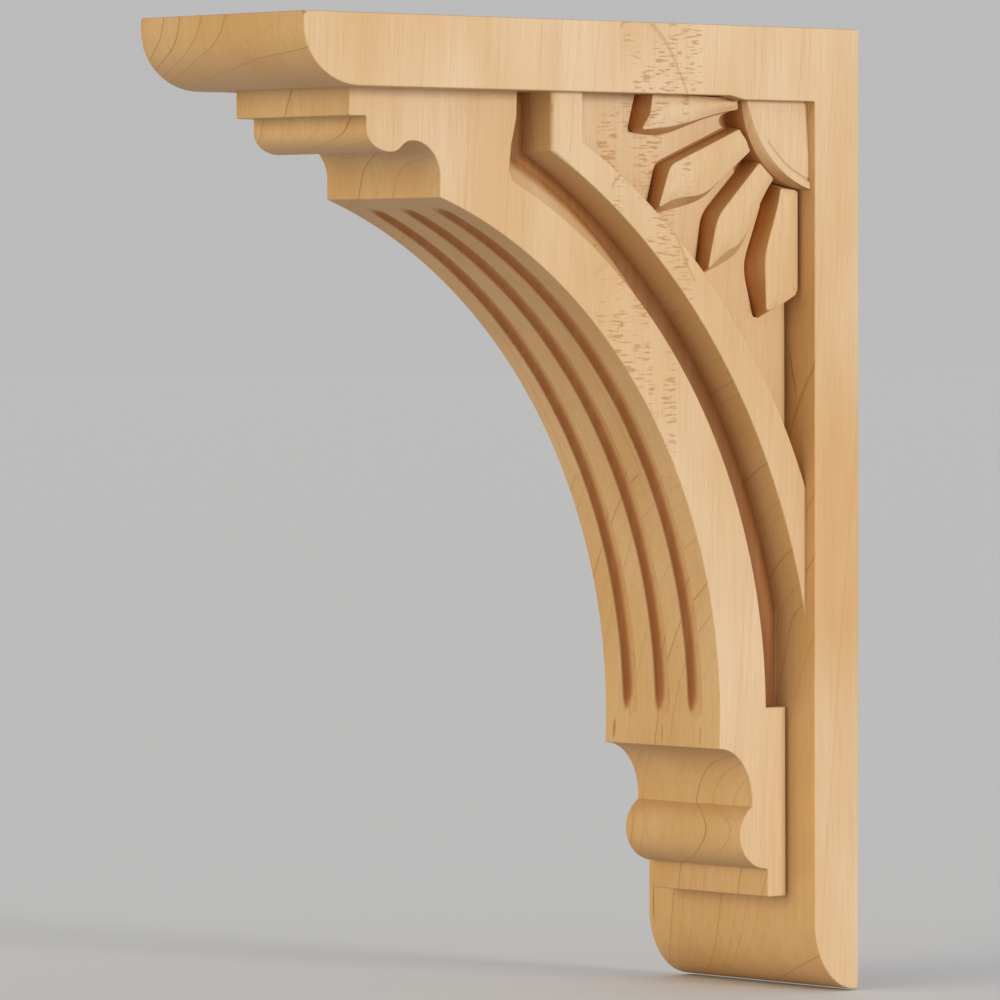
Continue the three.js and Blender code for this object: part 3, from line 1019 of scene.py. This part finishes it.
# The cutter's burn, which also serves as painted shade deep in the cuts, at the walls' feet and on the
# flutes' steep sides
CUTTER_BURN_AND_PAINTED_SHADE = "AC6A2A"
END_GRAIN = "BC8E58"
FLAW_BROWN = "8F5526"
WARM_HEART = "C99556"
# Painted shade: what the colour is multiplied by on the faces to the front, where the side light's shade
# falls, and the painted shadow that the groove's front edge casts on its floor
FRONT_PAINTED_SHADE = (1.0, 0.93, 0.75, 1.0)
GROOVE_PAINTED_SHADOW = (0.6, 0.57, 0.48, 1.0)

# The share of the ring's colour in the thin line that ends a year, and in the wood before it
LINE_STRENGTH = 0.75
LATE_WOOD_STRENGTH = 0.07
# How the broad clouds and the stave's paleness make the wood warmer or paler
CLOUD_CONTRAST = 1.3
CLOUD_SHIFT = -0.15
STAVE_PALENESS = -0.3

# The surface: its relief in shares of RELIEF_HEIGHT millimetres, and its sheen
RELIEF_HEIGHT = 0.15
RELIEF_STRENGTH = 0.5
RING_RELIEF = -0.3
FIBRE_RELIEF = 0.5
TORN_RELIEF = 2.0
SHEEN_SLOPE = (0.3, 0.7, 0.56, 0.68)
WOOD_IOR = 1.5


def add_places(tree):
    """Places in millimetres, and which way each face looks."""
    add_node(tree, "object", "ShaderNodeTexCoord", {}, ())
    add_node(tree, "place", VECTORS, {"operation": "SCALE"}, {0: "object:Object", "Scale": 1 / MM})
    add_node(tree, "axes", "ShaderNodeSeparateXYZ", {}, ("place",))
    add_node(tree, "out", MATHS, PRODUCT, ("axes:Y", -1))
    add_node(tree, "from_middle", MATHS, NO_SIGN, ("axes:X",))
    add_node(tree, "side_depth", MATHS, DIFFERENCE, (BODY_SIDE, "from_middle"))
    add_node(tree, "facing", "ShaderNodeSeparateXYZ", {}, ("object:Normal",))
    for axis in "XYZ":
        add_node(tree, "faces_" + axis, MATHS, NO_SIGN, ("facing:" + axis,))
    for name, circle in (("behind_arch", arch_circle), ("behind_edge", groove_circle)):
        centre = (0, -circle[0].x, circle[0].y)
        add_node(tree, name + "_offset", VECTORS, DIFFERENCE, ("place", centre))
        add_node(tree, name + "_spoke", VECTORS, PRODUCT, (name + "_offset", (0, 1, 1)))
        add_node(tree, name + "_radius", VECTORS, LENGTH, (name + "_spoke",))
        add_node(tree, name, MATHS, DIFFERENCE, (name + "_radius:Value", circle[1]))


def add_patterns(tree):
    for name, size, detail in PATTERNS:
        cells = tuple(1 / length for length in size)
        add_node(tree, name + "_cells", VECTORS, PRODUCT, ("place", cells))
        inputs = {"Vector": name + "_cells", "Scale": 1, "Detail": detail}
        add_node(tree, name, "ShaderNodeTexNoise", {}, inputs)


def add_growth_rings(tree):
    """Rings round each stave's pith, each year ending in a thin brown line."""
    before = (*STAVES[0][1], STAVES[0][2])
    pith = before
    for number, (start, middle, paleness) in enumerate(STAVES[1:]):
        here = (*middle, paleness)
        change = tuple(new - old for new, old in zip(here, before))
        add_node(tree, f"past_glue_{number}", MATHS, {"operation": "GREATER_THAN"}, ("out", start))
        inputs = (f"past_glue_{number}", change, pith)
        add_node(tree, f"pith_{number}", VECTORS, PRODUCT_AND_SUM, inputs)
        pith = f"pith_{number}"
        before = here
    add_node(tree, "pith_parts", "ShaderNodeSeparateXYZ", {}, (pith,))
    wobbling = ("wobble:Color", (WOBBLE_REACH, WOBBLE_REACH, WOBBLE_REACH), "place")
    add_node(tree, "wandering", VECTORS, PRODUCT_AND_SUM, wobbling)
    add_node(tree, "from_pith", VECTORS, DIFFERENCE, ("wandering", pith))
    add_node(tree, "level", VECTORS, PRODUCT, ("from_pith", (1, 1, 0)))
    add_node(tree, "radius", VECTORS, LENGTH, ("level",))
    add_node(tree, "leaning", MATHS, PRODUCT_AND_SUM, ("axes:Z", RING_LEAN, "radius:Value"))
    add_node(tree, "slow", MATHS, PRODUCT, ("leaning", 1 / (SLOW_RINGS * RING_WIDTH)))
    inputs = {"W": "slow", "Scale": 1, "Detail": 1}
    add_node(tree, "uneven", "ShaderNodeTexNoise", {"noise_dimensions": "1D"}, inputs)
    add_node(tree, "even_years", MATHS, PRODUCT, ("leaning", 1 / RING_WIDTH))
    add_node(tree, "years", MATHS, PRODUCT_AND_SUM, ("uneven", RING_UNEVENNESS, "even_years"))
    add_node(tree, "season", MATHS, {"operation": "FRACT"}, ("years",))
    add_node(tree, "year", MATHS, {"operation": "FLOOR"}, ("years",))
    add_node(tree, "year_tone", "ShaderNodeTexWhiteNoise", {"noise_dimensions": "1D"}, {"W": "year"})
    for name, source, span, shares in RING_SLOPES:
        add_node(tree, name, SLOPE, SMOOTH, (source, *span, *shares))
    add_node(tree, "ring_line", MATHS, PRODUCT, ("line_rises", "line_falls"))
    add_node(tree, "line_shade", MATHS, PRODUCT, ("ring_line", LINE_STRENGTH))
    shades = ("late_wood", LATE_WOOD_STRENGTH, "line_shade")
    add_node(tree, "year_shade", MATHS, PRODUCT_AND_SUM, shades)
    add_node(tree, "year_strength", MATHS, PRODUCT, ("strong_years", "on_sides"))
    add_node(tree, "ring", MATHS, PRODUCT, ("year_shade", "year_strength"))


def add_ray_flecks(tree):
    """Short brown dashes in groups, on the sides of the quarter-sawn stave."""
    for name, source, span, shares in FLECK_SLOPES:
        add_node(tree, name, SLOPE, SMOOTH, (source, *span, *shares))
    for name, first, second in (
        ("in_stave", "after_glue", "before_glue"),
        ("fleck_faces", "in_stave", "quarter_sawn"),
        ("grouped", "fleck_dashes", "fleck_groups"),
        ("fleck", "grouped", "fleck_faces"),
    ):
        add_node(tree, name, MATHS, PRODUCT, (first, second))


def add_groove_and_corner_burn_and_painted_shade(tree):
    """Wood darkened in the groove, on the walls in the corner and in the gouge's hollows: partly the
    cutter's burn, partly painted shade deeper in the cuts and at the walls' feet, and a painted shadow on
    the groove's floor beside its front edge.
    """
    for name, source, span, shares in CARVED_SLOPES:
        add_node(tree, name, SLOPE, SMOOTH, (source, *span, *shares))
    for name, first, second in (
        ("in_body", "off_plate", "before_top"),
        ("body_heights", "above_foot", "under_shelf"),
        ("in_height", "in_body", "body_heights"),
        ("carved", "in_height", "past_band"),
    ):
        add_node(tree, name, MATHS, PRODUCT, (first, second))

    # The groove: painted shade deeper down, and a painted shadow on its floor beside its front edge,
    # darkest there
    add_node(tree, "behind_top_edge", MATHS, DIFFERENCE, (groove_top[0], "out"))
    add_node(tree, "from_edge", MATHS, SMALLER, ("behind_edge", "behind_top_edge"))
    for name, source, span, shares in GROOVE_SLOPES:
        add_node(tree, name, SLOPE, SMOOTH, (source, *span, *shares))
    add_node(tree, "is_floor", MATHS, DIFFERENCE, (1, "is_wall"))
    add_node(tree, "floor_shade", MATHS, PRODUCT, ("groove_depths", "is_floor"))
    add_node(tree, "groove_shade", MATHS, PRODUCT_AND_SUM, ("is_wall", "wall_depths", "floor_shade"))
    add_node(tree, "carved_floor", MATHS, PRODUCT, ("floor_shade", "carved"))
    add_node(tree, "edge_shade", MATHS, PRODUCT, ("near_edge", "carved_floor"))

    # The corner: painted shade at the walls' feet and in the hollows, together with the cutter's burn
    add_node(tree, "corner_line", MATHS, PRODUCT_AND_SUM, ("out", -CORNER_LINE_RISE, "axes:Z"))
    for name, source, span, shares in CORNER_SLOPES:
        add_node(tree, name, SLOPE, SMOOTH, (source, *span, *shares))
    add_node(tree, "wall_shade", MATHS, PRODUCT, ("foot_depths", "is_wall"))
    add_node(tree, "wall_or_hollow", MATHS, LARGER, ("wall_shade", "hollow_shade"))
    add_node(tree, "corner_shade", MATHS, PRODUCT, ("wall_or_hollow", "in_corner"))
    add_node(tree, "cut_shade", MATHS, LARGER, ("groove_shade", "corner_shade"))
    add_node(tree, "cut_burnish", MATHS, PRODUCT, ("cut_shade", "carved"))


def add_flute_burn_and_painted_shade(tree):
    """Painted shade in the flutes, darkest on their steep sides, together with the cutter's burn."""
    for name, source, span, shares in FLUTE_SLOPES:
        add_node(tree, name, SLOPE, SMOOTH, (source, *span, *shares))
    for name, first, second in (
        ("flute_depths", "flute_starts", "flute_ends"),
        ("in_arch", "above_cove", "below_lip"),
        ("on_arch", "in_arch", "in_width"),
        ("in_flutes", "flute_depths", "on_arch"),
        ("flute_burnish", "in_flutes", "steep_sides"),
    ):
        add_node(tree, name, MATHS, PRODUCT, (first, second))


def add_flaws(tree):
    """Flaws, each an ellipsoid in the wood, and the warm stretch, which is another."""
    nearest = FAR_FROM_FLAWS
    for number, (middle, half_sizes, lean) in enumerate(FLAWS):
        turn = (0, math.radians(lean), 0)
        inputs = {"Vector": "place", "Location": middle, "Rotation": turn, "Scale": half_sizes}
        add_node(tree, f"flaw_{number}", STRETCH, TO_ELLIPSOID, inputs)
        add_node(tree, f"flaw_{number}_reach", VECTORS, LENGTH, (f"flaw_{number}",))
        add_node(tree, f"nearest_{number}", MATHS, SMALLER, (f"flaw_{number}_reach:Value", nearest))
        nearest = f"nearest_{number}"
    add_node(tree, "flaw", SLOPE, SMOOTH, (nearest, *FLAW_SLOPE))
    inputs = {"Vector": "place", "Location": WARM_STRETCH[0], "Scale": WARM_STRETCH[1]}
    add_node(tree, "in_stretch", STRETCH, TO_ELLIPSOID, inputs)
    add_node(tree, "stretch_reach", VECTORS, LENGTH, ("in_stretch",))
    add_node(tree, "warm_stretch", SLOPE, SMOOTH, ("stretch_reach:Value", *WARM_SLOPE))


def add_colours(tree):
    """The colours, each laid over the one before it. Returns where the last one comes from."""
    add_node(tree, "cloud_share", MATHS, PRODUCT_AND_SUM, ("clouds", CLOUD_CONTRAST, CLOUD_SHIFT))
    inputs = ("pith_parts:Z", STAVE_PALENESS, "cloud_share")
    add_node(tree, "less_pale", MATHS, PRODUCT_AND_SUM, inputs)
    for name, source, span, shares in COLOUR_SLOPES:
        add_node(tree, name, SLOPE, SMOOTH, (source, *span, *shares))
    # The cutter's burn together with the painted shade in the cuts and the flutes
    add_node(tree, "all_burnish", MATHS, LARGER, ("cut_burnish", "flute_burnish"))
    add_node(tree, "burnish", MATHS, PRODUCT, ("all_burnish", "burnish_streaks"))
    before = linear(MAPLE_PALE)
    # Among these, the cutter's colour is partly painted shade, the darkening beside the groove's edge is
    # a painted shadow, and the front tint is painted shade
    for share, colour, blend in (
        ("warmth", linear(MAPLE_WARM), "MIX"),
        ("warm_stretch", linear(WARM_HEART), "MIX"),
        ("ring", linear(RING_BROWN), "MIX"),
        ("fibre_shade", linear(FIBRE_SHADE), "MIX"),
        ("streak_shade", linear(FIBRE_SHADE), "MIX"),
        ("fleck", linear(FLECK_BROWN), "MIX"),
        ("burnish", linear(CUTTER_BURN_AND_PAINTED_SHADE), "MIX"),
        ("edge_shade", GROOVE_PAINTED_SHADOW, "MULTIPLY"),
        ("flaw", linear(FLAW_BROWN), "MIX"),
        ("front_share", FRONT_PAINTED_SHADE, "MULTIPLY"),
        ("end_share", linear(END_GRAIN), "MIX"),
    ):
        # Sockets 6 and 7 and output 2 of a Mix node are its colours
        settings = {"data_type": "RGBA", "blend_type": blend}
        add_node(tree, share + "_colour", "ShaderNodeMix", settings, {0: share, 6: before, 7: colour})
        before = share + "_colour:2"
    return before


def add_surface(tree, colour):
    """Fine relief and a dull sheen."""
    add_node(tree, "ring_relief", MATHS, PRODUCT, ("ring_line", RING_RELIEF))
    add_node(tree, "fine_relief", MATHS, PRODUCT_AND_SUM, ("fibres", FIBRE_RELIEF, "ring_relief"))
    add_node(tree, "torn", MATHS, PRODUCT, ("torn_fibres", "cut_burnish"))
    add_node(tree, "relief", MATHS, PRODUCT_AND_SUM, ("torn", TORN_RELIEF, "fine_relief"))
    inputs = {"Strength": RELIEF_STRENGTH, "Distance": RELIEF_HEIGHT * MM, "Height": "relief"}
    add_node(tree, "bump", "ShaderNodeBump", {}, inputs)
    add_node(tree, "roughness", SLOPE, SMOOTH, ("fibres", *SHEEN_SLOPE))
    inputs = {"Base Color": colour, "Roughness": "roughness", "IOR": WOOD_IOR, "Normal": "bump"}
    add_node(tree, "wood", "ShaderNodeBsdfPrincipled", {}, inputs)
    add_node(tree, "surface", "ShaderNodeOutputMaterial", {}, ("wood",))


def maple_material():
    """Hard maple, carved and sanded and left bare.

    Pale cream and matt, with fine fibres along the height, thin brown growth rings that curve over
    the mouldings, ray flecks on one stave, and darker wood in the cuts: partly the cutters' burn and
    partly painted shade, with a painted shadow in the groove and painted shade on the faces to the front.
    """
    material = bpy.data.materials.new("hard_maple_sanded")
    material.use_nodes = True
    tree = material.node_tree
    tree.nodes.clear()
    add_places(tree)
    add_patterns(tree)
    add_growth_rings(tree)
    add_ray_flecks(tree)
    add_groove_and_corner_burn_and_painted_shade(tree)
    add_flute_burn_and_painted_shade(tree)
    add_flaws(tree)
    add_surface(tree, add_colours(tree))
    return material


def floor_material():
    """Matt white paper, seen a little grey in the soft light."""
    material = bpy.data.materials.new("matt_paper")
    material.use_nodes = True
    shader = material.node_tree.nodes["Principled BSDF"]
    shader.inputs["Base Color"].default_value = linear(FLOOR_GREY)
    shader.inputs["Roughness"].default_value = PAPER_ROUGHNESS
    return material


# Floor and light

FLOOR_DROP = 0.5
FLOOR_SIZE = 40000.0
FLOOR_GREY = "DEE1E6"
PAPER_ROUGHNESS = 0.9
WORLD_STRENGTH = 0.5
# Each light: the direction towards it, its spread in degrees, its strength and its linear colour
LIGHTS = {
    "key_light": ((1.0, 0.16, 0.12), 20, 2.08, (1.0, 0.99, 0.97)),
    "fill_light": ((-0.14, -1.0, 0.05), 60, 2.1, (1.0, 0.79, 0.45)),
}
LIGHT_DISTANCE = 3000.0


def make_floor():
    bpy.ops.mesh.primitive_plane_add(size=FLOOR_SIZE * MM, location=(0, 0, (BOTTOM - FLOOR_DROP) * MM))
    floor = bpy.context.object
    floor.name = "floor"
    floor.data.materials.append(floor_material())


def add_sun(name, towards, spread, strength, colour):
    """A soft light from far off, in the direction towards it."""
    place = Vector(towards).normalized() * LIGHT_DISTANCE * MM
    bpy.ops.object.light_add(type="SUN", location=place)
    sun = bpy.context.object
    sun.name = name
    sun.data.angle = math.radians(spread)
    sun.data.energy = strength
    sun.data.color = colour
    sun.rotation_euler = Vector(towards).to_track_quat("Z", "Y").to_euler()


def make_lights():
    for name, settings in LIGHTS.items():
        add_sun(name, *settings)
    world = bpy.data.worlds.new("studio")
    bpy.context.scene.world = world
    world.use_nodes = True
    background = world.node_tree.nodes["Background"]
    background.inputs["Color"].default_value = linear("FFFFFF")
    background.inputs["Strength"].default_value = WORLD_STRENGTH
    bpy.context.scene.view_settings.view_transform = "Standard"


def main():
    make_camera()
    corbel = make_corbel()
    finish_surface(corbel)
    corbel.data.materials.clear()
    corbel.data.materials.append(maple_material())
    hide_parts("corbel")
    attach(corbel, "root")
    make_floor()
    make_lights()


main()
